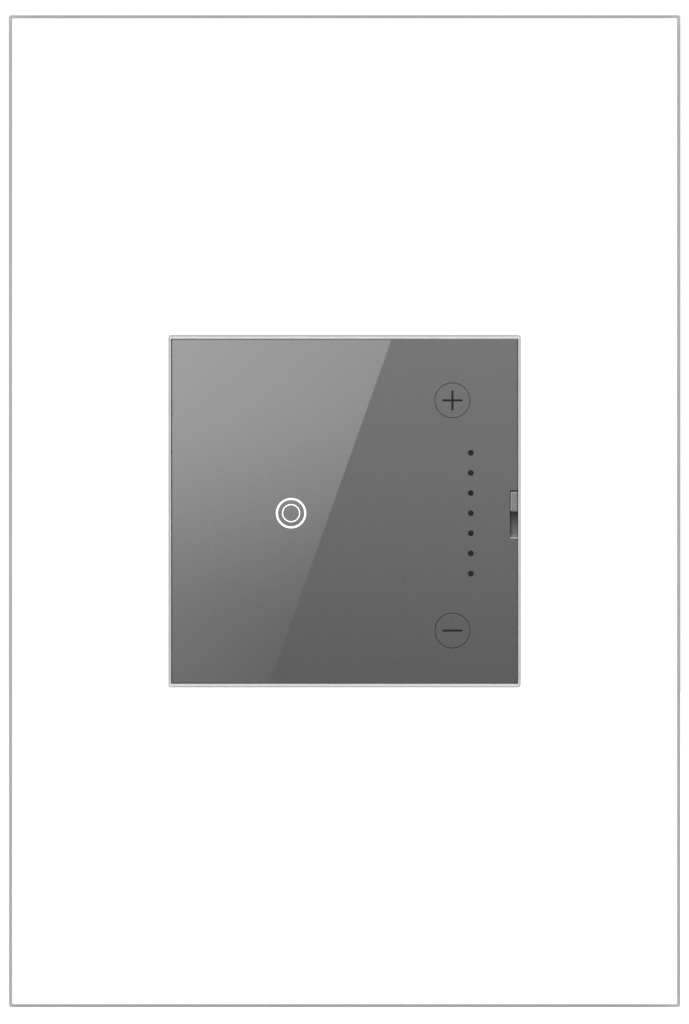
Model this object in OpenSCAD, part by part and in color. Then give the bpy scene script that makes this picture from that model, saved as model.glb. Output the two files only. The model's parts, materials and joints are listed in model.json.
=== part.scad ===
// Wall-mounted touch dimmer with a sliding air-gap tab, on its mounting frame and wall plate.
// Millimetres. X runs right, Z up and Y into the wall. The origin is the middle of the device
// on the wall's surface, so the wall plate stands at negative Y and the body sinks to positive Y.

/* [Wall plate and frame] */
// Width of the mounting frame, whose rim outlines the wall plate
frame_w = 88; // [84:0.5:100]
// Height of the mounting frame
frame_h = 130; // [120:0.5:140]
// How far the frame's rim shows outside the wall plate
rim_show = 0.5; // [0.3:0.1:1]
// Height of the wall plate's front above the wall
plate_rise = 6.6; // [6:0.2:9]
// Distance between the two box screws
box_screw_pitch = 83.3; // [83:0.1:84]

/* [Touch face] */
// Width of the touch panel
face_w = 45.4; // [45:0.1:48]
// How much less tall than wide the touch panel is
face_squat = 0.3; // [0:0.1:0.6]
// How far the touch panel stands proud of the wall plate
face_proud = 0.8; // [0.4:0.1:1.2]
// Thickness of the touch panel
panel_t = 1.2; // [1.2:0.1:1.6]
// Width of the bright trim seen left and right of the touch panel
trim_w = 0.3; // [0.3:0.05:0.5]
// Position of the on/off target, left of the middle
target_x = -7; // [-9:0.5:-5]
// Height of the target and of the middle light, measured from the middle
mid_z = -0.25; // [-0.5:0.05:0]
// Distance of the plus and minus marks right of the middle
mark_x = 14.1; // [13:0.1:14.5]
// Height of the plus mark above the middle
plus_z = 14.5; // [14:0.1:15]
// Height of the minus mark, below the middle
minus_z = -15.6; // [-16:0.1:-14]
// Distance of the level lights right of the middle
lights_x = 16.5; // [16:0.05:17]
// Number of level lights
light_count = 7; // [5:2:7]
// Distance between two level lights
light_pitch = 2.63; // [2.4:0.01:2.7]

/* [Air-gap switch] */
// Height of the tab that a finger slides
tab_h = 2.6; // [2.4:0.1:2.8]
// Length of each working arm of the lever, from pivot to pin
lever_arm = 6; // [5.8:0.1:6.1]
// Tilt of the lever either side of level
lever_tilt = 15; // [15:0.5:16]

/* [Housing] */
// Side of the square body behind the frame
body_w = 43.8; // [43:0.1:44]
// How far the rear housing reaches behind the wall's surface
body_depth = 34; // [33:0.5:40]
// Diameter of a lead over its insulation
lead_d = 2.6; // [2.2:0.1:2.8]
// Height of the lowest bend of the folded leads
lead_fold_z = -56; // [-58:1:-50]

/* [Hidden] */
$fn = 64;

// Depths along Y, from the front to the back
y_plate = -plate_rise;
y_face = y_plate - face_proud;
y_film = y_face + panel_t;
film_t = 0.2;
y_flange = y_film + film_t;
y_wall = y_flange + 1.2;       // back of the chassis's front wall
y_board = y_wall + 1.1;        // front of the touch board
board_t = 1;
y_board_back = y_board + board_t;
frame_t = 2.4;
trim_flange_t = 0.4;
y_body = -frame_t - trim_flange_t;
y_sink = 3;                    // front of the heat sink
sink_t = 2;
y_rear = y_sink + sink_t;      // front edge of the rear housing
y_power = 10.2;                // front of the power board
power_t = 1.6;
y_parts = y_power + power_t;   // components stand on this face
y_end = body_depth;
rear_wall = 1.6;

// Plan sizes
face_h = face_w - face_squat;
face_corner = 0.1;
face_edge = 0.16;              // chamfer round the panel's front
trim_corner = 0.3;
trim_fit = 0.02;               // gap between the trim and the panel inside it
trim_size = face_w + 2 * trim_w;
plate_gap = 0.06;
plate_wall = 1.5;
plate_t = 2;
plate_flare = 0.25;
plate_corner = 0.25;
frame_corner = 0.3;
body_corner = 2;
shell_t = 1.6;
room_w = body_w - 2 * shell_t;
window_w = body_w + 0.5;       // opening in the mounting frame
corner_xz = 18;                // corner screws, either side of the middle
boss_d = 5.6;
running = 0.05;                // radial clearance of a turning or sliding fit
touch = 0.01;                  // gap between parts that touch without load

// Marks on the touch panel
groove = 0.15;
target_lines = [[1.86, 0.27], [1.12, 0.15]];   // mean radius and line width of each ring
mark_ring = [2.29, 0.07];
mark_bar = [2.6, 0.26];        // length and line width
light_d = 0.74;
light_top = (light_count - 1) / 2 * light_pitch;
target_at = [target_x, mid_z];
lights_at = [lights_x, mid_z];

// Air-gap switch
travel = 2 * lever_arm * sin(lever_tilt);
tab_x = [21.71, face_w / 2 - 0.08];
tab_z = -0.06;
slot_x = 21.61;                // left edge of the notch in the panel
slot_clear = 0.2;
scoop = 1.1;                   // depth of the hollow under the tab
slot_lip = 0.2;                // chamfer along the notch's lower edge
tab_edge = 0.12;               // chamfer round the tab's front
slot_z = [tab_z - travel - slot_clear, tab_z + tab_h + slot_clear];
pivot_x = 12.43;
pin_x = pivot_x + lever_arm * cos(lever_tilt);
pin_z = lever_arm * sin(lever_tilt);
pin_d = 1.2;
pivot_d = 2;
carriage_y = [-2.0, -0.6];
lever_y = [-0.4, 1.2];
neck_x = [18.6, 20.25];
neck_z = [0.4, 2.4];
apron_x = 21.3;
apron_z = [slot_z[0] - 0.3, slot_z[1] + 0.3 + travel];
carriage_x = 16.4;
carriage_z = [-0.6, 7];
notch_z = 2.6;                 // height of the detent's bump
contact_x = [3.4, 8.6];
contact_z = -3.5;              // underside of the bridge strip
button_d = 1.4;
button_h = 0.4;
blade_t = 0.5;
blade_z = contact_z - 2 * button_h - blade_t;   // underside of the fixed contacts
peg_at = [[3, 6], [14, -6]];   // pegs that locate the switch's base on the heat sink
peg_d = 1.6;

// Fasteners
box_screw_d = 3.5;
box_screw_neck = 2.9;          // rolled down where it passes through the frame
box_screw_end = 19;
case_screw_d = 2.2;
m3 = 3;

// Leads
lead_x = [-12, -4, 4, 12];
lead_z = -15.5;
lead_bend = 6;
lead_hairpin = 4.5;
lead_y = y_end + 3.5 + lead_bend;
bare_d = 1.5;

// ---------- shared shapes ----------

// A flat outline drawn in X and Z, filled from one depth to another
module slab(front, back) {
    translate([0, back, 0]) rotate([90, 0, 0]) linear_extrude(back - front) children();
}

module rounded(w, h, r) {
    square([w - 2 * r, h], center = true);
    square([w, h - 2 * r], center = true);
    for (x = [-1, 1], z = [-1, 1])
        translate([x * (w / 2 - r), z * (h / 2 - r)]) circle(r);
}

module rounded_square(w, r) {
    rounded(w, w, r);
}

module box(x, y, z) {
    translate([x[0], y[0], z[0]]) cube([x[1] - x[0], y[1] - y[0], z[1] - z[0]]);
}

module rod(d, at, front, back) {
    slab(front, back) translate(at) circle(d = d);
}

module ring(mean_r, line_w) {
    difference() {
        circle(mean_r + line_w / 2);
        circle(mean_r - line_w / 2);
    }
}

// Rounded block whose four front edges slope: a positive slope is a chamfer, a negative one a flare
module sloped_block(w, h, r, front, back, slope) {
    corner = abs(slope);
    out = slope < 0 ? corner : 0;
    intersection() {
        slab(front, back) rounded(w + 2 * out, h + 2 * out, r);
        translate([0, 0, -h / 2 - out]) linear_extrude(h + 2 * out)
            polygon(slope_outline(w, front, back, slope));
        translate([-w / 2 - out, 0, 0]) rotate([90, 0, 90]) linear_extrude(w + 2 * out)
            polygon([for (p = slope_outline(h, front, back, slope)) [p[1], p[0]]]);
    }
}

function slope_outline(w, front, back, slope) = let (half = w / 2, deep = front + abs(slope))
    [[-half, back], [-half, deep], [slope - half, front],
     [half - slope, front], [half, deep], [half, back]];

module corners() {
    for (x = [-1, 1], z = [-1, 1]) translate([x, z] * corner_xz) children();
}

// A straight bar with round ends between two points
module bar(from, to, w) {
    run = to - from;
    translate(from) rotate(atan2(run[1], run[0])) translate([0, -w / 2]) square([norm(run), w]);
    for (end = [from, to]) translate(end) circle(d = w);
}

// Outline of a screw's crossed recess
module cross_slot(size) {
    for (turn = [0, 90]) rotate(turn) square([size, size / 4.5], center = true);
}

// A row of equal rounded openings, with a rib between one and the next
module ribbed_pocket(cell, cells) {
    rib = 1.2;
    for (i = [0 : cells - 1])
        translate([(i - (cells - 1) / 2) * (cell[0] + rib), 0]) rounded(cell[0], cell[1], 1.2);
}

// ---------- wall side ----------

hook_x = 30;
hook_z = 52;
hook_w = 6;
hook_t = 1.2;

module mounting_frame() {
    pocket_cell = [9.8, 17];
    pocket_at = [23, 36.5];
    side_cell = [9.6, 11];
    side_pocket_x = 33.5;
    pocket_depth = 1.2;
    rebate = 1;                // depth of the recesses that clips and hooks grip in
    clip_room = [13, window_w + 6];
    slot_half = 1.5;           // half the length by which a box screw can shift sideways
    color("#7f8284") difference() {
        slab(-frame_t, 0) rounded(frame_w, frame_h, frame_corner);
        slab(-frame_t - 1, 1) rounded_square(window_w, body_corner);
        slab(-rebate, 1) square(clip_room, center = true);
        slab(-frame_t - 1, 1) for (z = [-1, 1]) translate([0, z * box_screw_pitch / 2])
            bar([-slot_half, 0], [slot_half, 0], box_screw_d + 0.6);
        for (x = [-1, 1], z = [-1, 1]) translate([x * hook_x, 0, z * hook_z]) {
            slab(-frame_t - 1, 1) square([hook_w + 1, 2.6], center = true);
            slab(-rebate, 1) square([hook_w + 1, 4.4], center = true);
        }
        // pockets in the wall side, split by ribs
        for (x = [-1, 1], z = [-1, 1]) translate([x * pocket_at[0], 0, z * pocket_at[1]])
            slab(-pocket_depth, 1) ribbed_pocket(pocket_cell, 3);
        for (x = [-1, 1]) translate([x * side_pocket_x, 0, 0]) slab(-pocket_depth, 1)
            rotate(90) ribbed_pocket(side_cell, 4);
    }
}

module wall_plate() {
    w = frame_w - 2 * rim_show;
    h = frame_h - 2 * rim_show;
    opening = trim_size + 2 * plate_gap;
    collar = opening + 2 * 1.2;
    hook_end = -0.2;           // kept clear of the wall
    barb = [0.75, 1.3];        // depth and reach of a hook's barb
    color("#fbfbfa") union() {
        difference() {
            sloped_block(w, h, plate_corner, y_plate, -frame_t, 0.4);
            difference() {
                slab(y_plate + plate_t, 0) rounded(w - 2 * plate_wall, h - 2 * plate_wall, 1);
                slab(y_plate + plate_t - 1, 1) rounded_square(collar, 1);
            }
            slab(y_plate - 1, 1) rounded_square(opening, trim_corner);
            sloped_block(opening, opening, trim_corner, y_plate, y_plate + 1, -plate_flare);
        }
        // snap hooks that pass through the mounting frame
        for (x = [-1, 1], z = [-1, 1]) translate([x * hook_x, 0, z * hook_z]) {
            box([-hook_w / 2, hook_w / 2], [y_plate + plate_t - 0.1, hook_end], [-hook_t / 2, hook_t / 2]);
            mirror([0, 0, z > 0 ? 0 : 1]) box([-hook_w / 2, hook_w / 2], [hook_end - barb[0], hook_end],
                [hook_t / 2, hook_t / 2 + barb[1]]);
        }
    }
}

module box_screws() {
    head_d = 6.9;
    head_front = -frame_t - 1.9;
    color("silver") for (z = [-1, 1]) translate([0, 0, z * box_screw_pitch / 2])
        difference() {
            union() {
                rod(head_d, [0, 0], head_front, -frame_t);
                rod(box_screw_neck, [0, 0], -frame_t, 0);
                rod(box_screw_d, [0, 0], 0, box_screw_end);
            }
            slab(head_front - 1, head_front + 1.1) cross_slot(3.8);
        }
}

// Spring clips on the top and bottom of the chassis hold the module in the frame
module frame_clips() {
    clip_w = 10;
    half = body_w / 2;
    strip = 0.4;
    color("silver") for (side = [-1, 1]) rotate([0, side > 0 ? 0 : 180, 0])
        translate([-clip_w / 2, 0, 0]) rotate([90, 0, 90]) linear_extrude(clip_w) polygon([
            [2.6, half], [2.6, half + strip], [0.6, half + 2.2], [-0.9, half + 2.2],
            [-0.9, half + 2.2 - strip], [0.45, half + 2.2 - strip], [1.95, half]]);
}

// ---------- touch face ----------

module trim_bezel() {
    front = y_face + 0.25;
    color("#d8dadb") difference() {
        sloped_block(trim_size, trim_size, trim_corner, front, -frame_t, 0.15);
        slab(front - 1, y_body) rounded(face_w + 2 * trim_fit, face_h + 2 * trim_fit, face_corner);
        slab(y_body - 1, 0) rounded_square(body_w + 0.1, body_corner);
    }
}

module touch_panel() {
    color("#6b6b6b") difference() {
        sloped_block(face_w, face_h, face_corner, y_face, y_film, face_edge);
        slab(y_face - 1, y_film + 1) level_lights(light_d + 2 * touch);
        slab(y_face - 1, y_film + 1) slider_notch(slot_x, slot_z);
        // lip below the notch, sloped to lead a fingertip in
        translate([slot_x, y_face, slot_z[0]]) rotate([90, 0, 90]) linear_extrude(face_w)
            polygon(slot_lip * [[-1, -2], [2, 1], [-1, 1]]);
        slab(y_face - 1, y_face + groove) {
            translate(target_at) for (r = target_lines) ring(r[0], r[1] + 2 * touch);
            translate([mark_x, plus_z]) plus_shape(touch);
            translate([mark_x, minus_z]) minus_shape(touch);
        }
    }
}

module slider_notch(left, z) {
    translate([left, z[0]]) square([face_w, z[1] - z[0]]);
}

module light_spots() {
    for (i = [0 : light_count - 1]) translate([lights_x, mid_z + light_top - i * light_pitch])
        children();
}

module level_lights(d) {
    light_spots() circle(d = d);
}

module minus_shape(grow = 0) {
    square([mark_bar[0] + 2 * grow, mark_bar[1] + 2 * grow], center = true);
    ring(mark_ring[0], mark_ring[1] + 2 * grow);
}

module plus_shape(grow = 0) {
    minus_shape(grow);
    rotate(90) square([mark_bar[0] + 2 * grow, mark_bar[1] + 2 * grow], center = true);
}

module target_rings() {
    color("white") slab(y_face, y_face + groove - touch)
        translate(target_at) for (r = target_lines) ring(r[0], r[1]);
}

module plus_mark() {
    color("#2c2c2c") slab(y_face, y_face + groove - touch) translate([mark_x, plus_z]) plus_shape();
}

module minus_mark() {
    color("#2c2c2c") slab(y_face, y_face + groove - touch)
        translate([mark_x, minus_z]) minus_shape();
}

target_r = 2.4;                // clear window behind the on/off rings
electrodes = [[target_x, mid_z, 5.2], [mark_x, plus_z, 4.2], [mark_x, minus_z, 4.2]];
tail_w = 6;
tail_z = -19.4;

module electrode_spots(grow = 0) {
    for (e = electrodes) translate([e[0], e[1]]) circle(e[2] + grow);
}

module sensor_film() {
    color("#c98b3a") union() {
        slab(y_film, y_flange) difference() {
            rounded(face_w - 0.8, face_h - 0.8, 1);
            electrode_spots(touch);
            level_lights(light_d + 2 * touch);
            slider_notch(apron_x - 0.2, [apron_z[0] - travel - 0.3, apron_z[1] + 0.3]);
        }
        // tail that carries the pads' tracks to the touch board
        box([-tail_w / 2, tail_w / 2], [y_film, y_board - 0.2], [tail_z, tail_z + film_t]);
    }
}

module touch_electrodes() {
    color("#b87333") slab(y_film, y_flange) difference() {
        electrode_spots();
        translate(target_at) circle(target_r);
        level_lights(light_d + 2 * touch);
    }
}

rail = [1.8, 17.6];

module level_light_pipes() {
    color("#303030") union() {
        slab(y_face, y_flange + 0.2) level_lights(light_d);
        slab(y_flange + 0.05, y_wall) translate(lights_at) rounded(rail[0], rail[1], 0.5);
    }
}

module target_light_guide() {
    color("#f2f4f5") union() {
        rod(2 * target_r - 0.1, target_at, y_film + 0.05, y_wall + 0.3);
        rod(2 * target_r + 1.6, target_at, y_wall, y_wall + 0.3);
    }
}

// ---------- chassis ----------

post_at = [[-17.6, 0], [0, 17.6], [0, -15.2]];
post_d = 2.6;
post_pin_d = 1.3;              // thin pin on each post, which passes through the touch board

module front_chassis() {
    color("#3a3b3c") difference() {
        union() {
            difference() {
                union() {
                    slab(y_flange, y_body) rounded(face_w, face_h, face_corner);
                    slab(y_body, y_sink) rounded_square(body_w, body_corner);
                }
                slab(y_wall, y_sink + 1) rounded_square(room_w, 1);
            }
            slab(y_wall - 0.1, y_sink) corners() circle(d = boss_d);
            // posts that carry the touch board
            for (p = post_at) {
                rod(post_d, p, y_wall - 0.1, y_board);
                rod(post_pin_d, p, y_board - 0.1, y_board_back + 0.5);
            }
        }
        slab(0, y_sink + 1) corners() circle(d = case_screw_d + 2 * touch);
        slab(y_flange - 1, y_wall + 1) translate(lights_at)
            rounded(rail[0] + 0.1, rail[1] + 0.1, 0.55);
        rod(2 * target_r, target_at, y_flange - 1, y_wall + 0.02);
        box([-tail_w / 2 - 0.3, tail_w / 2 + 0.3], [y_flange - 1, y_wall + 0.02],
            [tail_z - 0.3, tail_z + 0.5]);
        // pocket for the slider's apron, open on the right under the trim
        box([apron_x - 0.1, face_w], [y_flange - 1, y_wall + 0.15],
            [apron_z[0] - travel - 0.3, apron_z[1] + 0.3]);
        // slot for the slider's bridge into the body
        box([room_w / 2 - 0.1, face_w], [y_wall, y_wall + 1],
            [neck_z[0] - travel - 0.2, neck_z[1] + 0.2]);
    }
}

module light_shield() {
    wall = 0.9;
    color("#222222") slab(y_wall + touch, y_board) difference() {
        translate(lights_at) square([3.2, light_pitch * light_count + wall], center = true);
        light_spots() square([1.6, light_pitch - wall], center = true);
    }
}

module touch_board() {
    w = room_w - 0.4;
    color("#1f5a3a") slab(y_board, y_board_back) difference() {
        rounded_square(w, 1);
        corners() circle(d = boss_d + 0.4);
        for (p = post_at) translate(p) circle(d = post_pin_d + 2 * running);
        translate([neck_x[0] - 0.3, neck_z[0] - travel - 0.3])
            square([5, neck_z[1] - neck_z[0] + travel + 0.6]);
    }
}

module level_leds() {
    color("#e8e4c8") slab(y_board - 0.6, y_board) light_spots()
        square([0.8, 1.4], center = true);
}

module target_leds() {
    color("#f5f2d8") slab(y_board - 0.6, y_board) for (side = [-1, 1])
        translate(target_at + [side * 1.3, 0]) square([0.8, 1.6], center = true);
}

// A flat chip body with legs along two sides
module gull_wing_chip(w, h, thick, legs, pitch) {
    slab(0.1, thick) square([w, h], center = true);
    for (side = [-1, 1], i = [0 : legs - 1]) slab(0, 0.5)
        translate([side * (w / 2 + 0.4), (i - (legs - 1) / 2) * pitch])
            square([1, 0.4], center = true);
}

module touch_controller() {
    color("#1b1b1c") translate([-8, y_board_back, -5]) gull_wing_chip(6.4, 9.6, 1.4, 10, 0.9);
}

module film_connector() {
    height = 1.8;
    color("#efe9d6") difference() {
        box([-tail_w / 2 - 1.2, tail_w / 2 + 1.2], [y_board - 0.9, y_board],
            [tail_z - height / 2 + 0.1, tail_z + height / 2 + 0.1]);
        box([-tail_w / 2 - 0.1, tail_w / 2 + 0.1], [y_board - 2, y_board - 0.1],
            [tail_z - touch, tail_z + film_t + touch]);
    }
}

header_at = [-10, -14];
header_pins = 5;
header_pitch = 2.54;

module header_positions() {
    for (i = [0 : header_pins - 1])
        translate([header_at[0] + (i - (header_pins - 1) / 2) * header_pitch, header_at[1]])
            children();
}

module board_header() {
    color("#d8b04a") union() {
        slab(y_board_back, y_power) header_positions() square(0.64, center = true);
        slab(y_board_back + 0.4, y_board_back + 2.8) translate(header_at)
            square([header_pins * header_pitch, 2.4], center = true);
    }
}

// ---------- air-gap switch ----------

module air_gap_slider() {
    color("#858585") difference() {
        union() {
            // the tab a finger slides, and the apron that keeps the notch closed
            translate([(tab_x[0] + tab_x[1]) / 2, 0, tab_z + tab_h / 2])
                sloped_block(tab_x[1] - tab_x[0], tab_h, 0.05, y_face + 0.1, y_flange + 0.1, tab_edge);
            box([apron_x, tab_x[1]], [y_film + running, y_wall + 0.08], apron_z);
            box([neck_x[0], tab_x[1]], [y_wall + 0.08, y_wall + 0.85], neck_z);
            box(neck_x, [y_wall + 0.08, carriage_y[1]], neck_z);
            box([carriage_x, neck_x[1]], carriage_y, carriage_z);
        }
        // hollow under the tab, deepest at the tab, where a fingertip catches it
        translate([slot_x - 1, 0, tab_z]) rotate([90, 0, 90]) linear_extrude(face_w)
            polygon([[y_film, -travel], [y_film, 0], [y_film + scoop, 0]]);
        // slot for the lever's pin
        slab(carriage_y[0], 1) translate([pin_x, pin_z])
            bar([-0.35, 0], [0.35, 0], pin_d + 2 * running);
        // detent notches, one for each end of the travel
        for (z = [notch_z, notch_z + travel]) translate([carriage_x, 0, z])
            slab(carriage_y[0] - 1, 1) polygon([[-0.1, -0.9], [0.65, -0.15], [0.65, 0.15], [-0.1, 0.9]]);
    }
}

spring_y = [-1.9, -0.7];
spring_x = carriage_x - 0.85;
spring_top = 9.4;

module detent_spring() {
    strip = 0.3;
    bump = 0.85 + 0.5;
    color("silver") slab(spring_y[0], spring_y[1]) translate([spring_x, notch_z])
        polygon([[-strip, spring_top - notch_z], [0, spring_top - notch_z], [0, 0.95],
            [bump, 0.1], [bump, -0.1], [0, -0.95], [0, -2.6],
            [-strip, -2.6], [-strip, -1.05], [bump - 0.55, 0], [-strip, 1.05]]);
}

module air_gap_lever() {
    foot = [[3.2, 8.9], [contact_z + 0.35, contact_z + 1.35]];
    color("#e9e6dc") difference() {
        union() {
            slab(lever_y[0], lever_y[1]) {
                bar([pivot_x, 0], [pin_x, pin_z], 2.2);
                bar([pivot_x, 0], [5.6, (5.6 - pivot_x) * tan(lever_tilt)], 2);
                translate([pivot_x, 0]) circle(d = 4);
                translate([foot[0][0], foot[1][0]])
                    square([foot[0][1] - foot[0][0], foot[1][1] - foot[1][0]]);
            }
            rod(pin_d, [pin_x, pin_z], carriage_y[0] + 0.15, lever_y[0] + 0.1);
        }
        rod(pivot_d + 2 * running, [pivot_x, 0], lever_y[0] - 1, lever_y[1] + 1);
    }
}

module lever_pivot_pin() {
    color("silver") union() {
        rod(pivot_d, [pivot_x, 0], lever_y[0] - running, y_sink - touch);
        rod(pivot_d + 1.4, [pivot_x, 0], lever_y[0] - 0.55, lever_y[0] - running);
    }
}

module bridge_contact() {
    color("#c68346") union() {
        box([contact_x[0] - 1, contact_x[1] + 1], lever_y, [contact_z - 0.05, contact_z + 0.35]);
        for (x = contact_x) translate([x, (lever_y[0] + lever_y[1]) / 2, contact_z - button_h])
            cylinder(h = button_h + 0.1, d = button_d);
    }
}

module fixed_contacts() {
    color("#c68346") for (x = contact_x) union() {
        box([x - 0.9, x + 0.9], [lever_y[0], y_power], [blade_z, blade_z + blade_t]);
        translate([x, (lever_y[0] + lever_y[1]) / 2, blade_z + blade_t - 0.1])
            cylinder(h = button_h + 0.1 - touch, d = button_d);
    }
}

base_y = [1.3, y_sink];

module contact_base() {
    color("#2e2f31") difference() {
        union() {
            box([1, 16.2], base_y, [-8, spring_top + 1.6]);
            box([1.2, 10.8], [lever_y[0], base_y[0] + 0.1], [blade_z - 1.6, blade_z - touch]);
            box([spring_x - 1.6, spring_x + 0.9], [spring_y[0] - 0.1, base_y[0] + 0.1],
                [spring_top - 1.6, spring_top + 1.6]);
            for (p = peg_at) rod(peg_d, p, base_y[1] - 0.1, base_y[1] + 1.5);
        }
        rod(pivot_d + 2 * touch, [pivot_x, 0], base_y[0] - 1, base_y[1] + 1);
        for (x = contact_x)
            box([x - 0.95, x + 0.95], [base_y[0] - 0.2, base_y[1] + 1],
                [blade_z - 0.05, blade_z + blade_t + 0.05]);
        // slit that grips the detent spring's top
        box([spring_x - 0.3 - touch, spring_x + touch], [spring_y[0] - 1, spring_y[1] + touch],
            [spring_top - 2, spring_top + touch]);
    }
}

// ---------- power side ----------

triac_x = -10;
tab_hole_z = 12.4;

module heat_sink() {
    color("#c3c6c8") slab(y_sink, y_rear) difference() {
        rounded_square(body_w, body_corner);
        corners() circle(d = case_screw_d + 0.5);
        translate([triac_x, tab_hole_z]) circle(d = m3 + 2 * touch);
        for (p = peg_at) translate(p) circle(d = peg_d + 2 * running);
        translate(header_at) square([header_pins * header_pitch + 1, 3.4], center = true);
        translate([(contact_x[0] + contact_x[1]) / 2, contact_z - 1.05])
            square([contact_x[1] - contact_x[0] + 4.4, 3], center = true);
    }
}

pad_t = 0.3;

module thermal_pad() {
    color("#9aa7b5") slab(y_rear, y_rear + pad_t) translate([triac_x, 0]) difference() {
        translate([-5.5, -5]) square([11, 20.4]);
        translate([0, tab_hole_z]) circle(d = m3 + 0.4);
    }
}

module triac() {
    front = y_rear + pad_t;
    lead_bottom = -6;
    color("#1d1d1f") union() {
        slab(front, front + 1.3) translate([triac_x, 0]) difference() {
            translate([-5, 4]) square([10, 11.4]);
            translate([0, tab_hole_z]) circle(d = m3 + 0.6);
        }
        slab(front, front + 4.4) translate([triac_x - 5, -4]) square([10, 9]);
        for (i = [-1, 0, 1]) translate([triac_x + i * 2.54, 0, 0]) {
            box([-0.4, 0.4], [front + 2.2, front + 2.7], [lead_bottom, -3.9]);
            box([-0.4, 0.4], [front + 2.2, y_power], [lead_bottom, lead_bottom + 0.5]);
        }
    }
}

module triac_screw() {
    head = y_rear + pad_t + 1.3;
    color("silver") difference() {
        union() {
            rod(m3, [triac_x, tab_hole_z], y_sink, head);
            rod(5.4, [triac_x, tab_hole_z], head, head + 2.2);
        }
        slab(head + 1.1, head + 3) translate([triac_x, tab_hole_z]) cross_slot(3.2);
    }
}

module power_board() {
    color("#2a6b45") slab(y_power, y_parts) difference() {
        rounded_square(room_w - 0.4, 1);
        corners() circle(d = boss_d + 1);
    }
}

choke = [8.4, 7.6];
choke_r = [4.4, 8.2];          // inner and outer radius of the core
choke_h = 7.6;
wire_d = 0.8;

module choke_core() {
    color("#d9c23c") translate([choke[0], y_parts + wire_d + 0.1, choke[1]]) rotate([-90, 0, 0])
        difference() {
            cylinder(h = choke_h, r = choke_r[1]);
            translate([0, 0, -1]) cylinder(h = choke_h + 2, r = choke_r[0]);
        }
}

// Each turn is a closed loop of wire round the core's section
module choke_winding() {
    turns = 22;
    section = [choke_r[1] - choke_r[0] + 0.06, choke_h + 0.06];
    color("#b5651d") translate([choke[0], y_parts + wire_d + 0.1 + choke_h / 2, choke[1]])
        rotate([-90, 0, 0]) for (i = [0 : turns - 1]) rotate(20 + i * 320 / (turns - 1))
            translate([(choke_r[0] + choke_r[1]) / 2, wire_d / 2, 0]) rotate([90, 0, 0])
                linear_extrude(wire_d) difference() {
                    square(section + 2 * [wire_d, wire_d], center = true);
                    square(section, center = true);
                }
}

module film_capacitor() {
    color("#c9a227") slab(y_parts, y_parts + 13) translate([-11, 9.5]) rounded(15, 8.6, 0.8);
}

module bulk_capacitor() {
    d = 9;
    color("#26282c") translate([13, y_parts + 0.2, -8.6]) rotate([-90, 0, 0])
        rotate_extrude() polygon([[0, 0], [d / 2 - 0.3, 0], [d / 2, 0.3], [d / 2, 1.6],
            [d / 2 - 0.5, 2.1], [d / 2, 2.6], [d / 2, 15.6], [d / 2 - 0.4, 16], [0, 16]]);
}

module varistor() {
    color("#2f5fa8") union() {
        translate([2, y_parts + 6.2, -8.2]) cylinder(h = 3.6, d = 9);
        for (side = [-1, 1]) rod(0.7, [2 + side * 2.5, -6.4], y_parts, y_parts + 6.2);
    }
}

module thermal_fuse() {
    color("#d8d2c2") union() {
        translate([-18, y_parts + 2.6, -2.6]) rotate([0, 90, 0]) cylinder(h = 12, d = 4.6);
        for (x = [-19, -5]) {
            rod(0.8, [x, -2.6], y_parts, y_parts + 3);
            box([min(x, -12), max(x, -12)], [y_parts + 2.2, y_parts + 3], [-3, -2.2]);
        }
    }
}

well_floor = 14;               // depth at which the long screws' heads seat

// Rounded block whose four back edges slope
module back_sloped_block(w, r, front, back, slope) {
    translate([0, front + back, 0]) mirror([0, 1, 0]) sloped_block(w, w, r, front, back, slope);
}

module rear_housing() {
    vents = 7;
    vent_pitch = 3.6;
    panel_depth = 0.5;         // of the ribbed panels in the side walls
    panel_mid = (y_rear + y_end) / 2 + 1;
    color("#333436") difference() {
        union() {
            difference() {
                back_sloped_block(body_w, body_corner, y_rear, y_end, 0.8);
                slab(y_rear - 1, y_end - rear_wall) rounded_square(room_w, 1);
            }
            intersection() {
                slab(y_rear, y_end) corners() circle(d = boss_d + 0.6);
                back_sloped_block(body_w, body_corner, y_rear, y_end, 0.8);
            }
        }
        slab(y_rear - 1, y_end + 1) corners() circle(d = case_screw_d + 0.5);
        slab(well_floor, y_end + 1) corners() circle(d = 4.6);
        for (x = lead_x) rod(lead_d + 1.6, [x, lead_z], y_end - rear_wall - 1, y_end + 1);
        // cooling slots in the top wall and the bottom wall
        for (i = [0 : vents - 1])
            translate([(i - (vents - 1) / 2) * vent_pitch, 24, 0])
                cube([1.4, 10, 3 * body_w], center = true);
        for (side = [-1, 1]) translate([side * body_w / 2, panel_mid, 0]) rotate([0, 0, 90])
            slab(-panel_depth, panel_depth) rotate(90) ribbed_pocket([4.2, 19], 5);
        // bed for the rating label
        slab(y_end - 0.3, y_end + 1) translate([0, 3]) rounded(24, 20, 1);
    }
}

module housing_screws() {
    color("#5c5e60") difference() {
        union() {
            slab(0.4, well_floor) corners() circle(d = case_screw_d);
            slab(well_floor, well_floor + 1.8) corners() circle(d = 4.2);
        }
        slab(well_floor + 0.9, well_floor + 3) corners() cross_slot(2.6);
    }
}

module rating_label() {
    color("#cfd1d2") slab(y_end - 0.3 + touch, y_end - 0.1) translate([0, 3]) rounded(23.6, 19.6, 0.9);
}

// ---------- leads ----------

module lead_grommets() {
    hole = lead_d + 1.6 - 2 * touch;
    color("#1a1a1a") for (x = lead_x) difference() {
        union() {
            rod(hole, [x, lead_z], y_end - rear_wall, y_end);
            rod(hole + 1.2, [x, lead_z], y_end, y_end + 1.2);
        }
        rod(lead_d + 2 * touch, [x, lead_z], y_end - 5, y_end + 5);
    }
}

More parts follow.
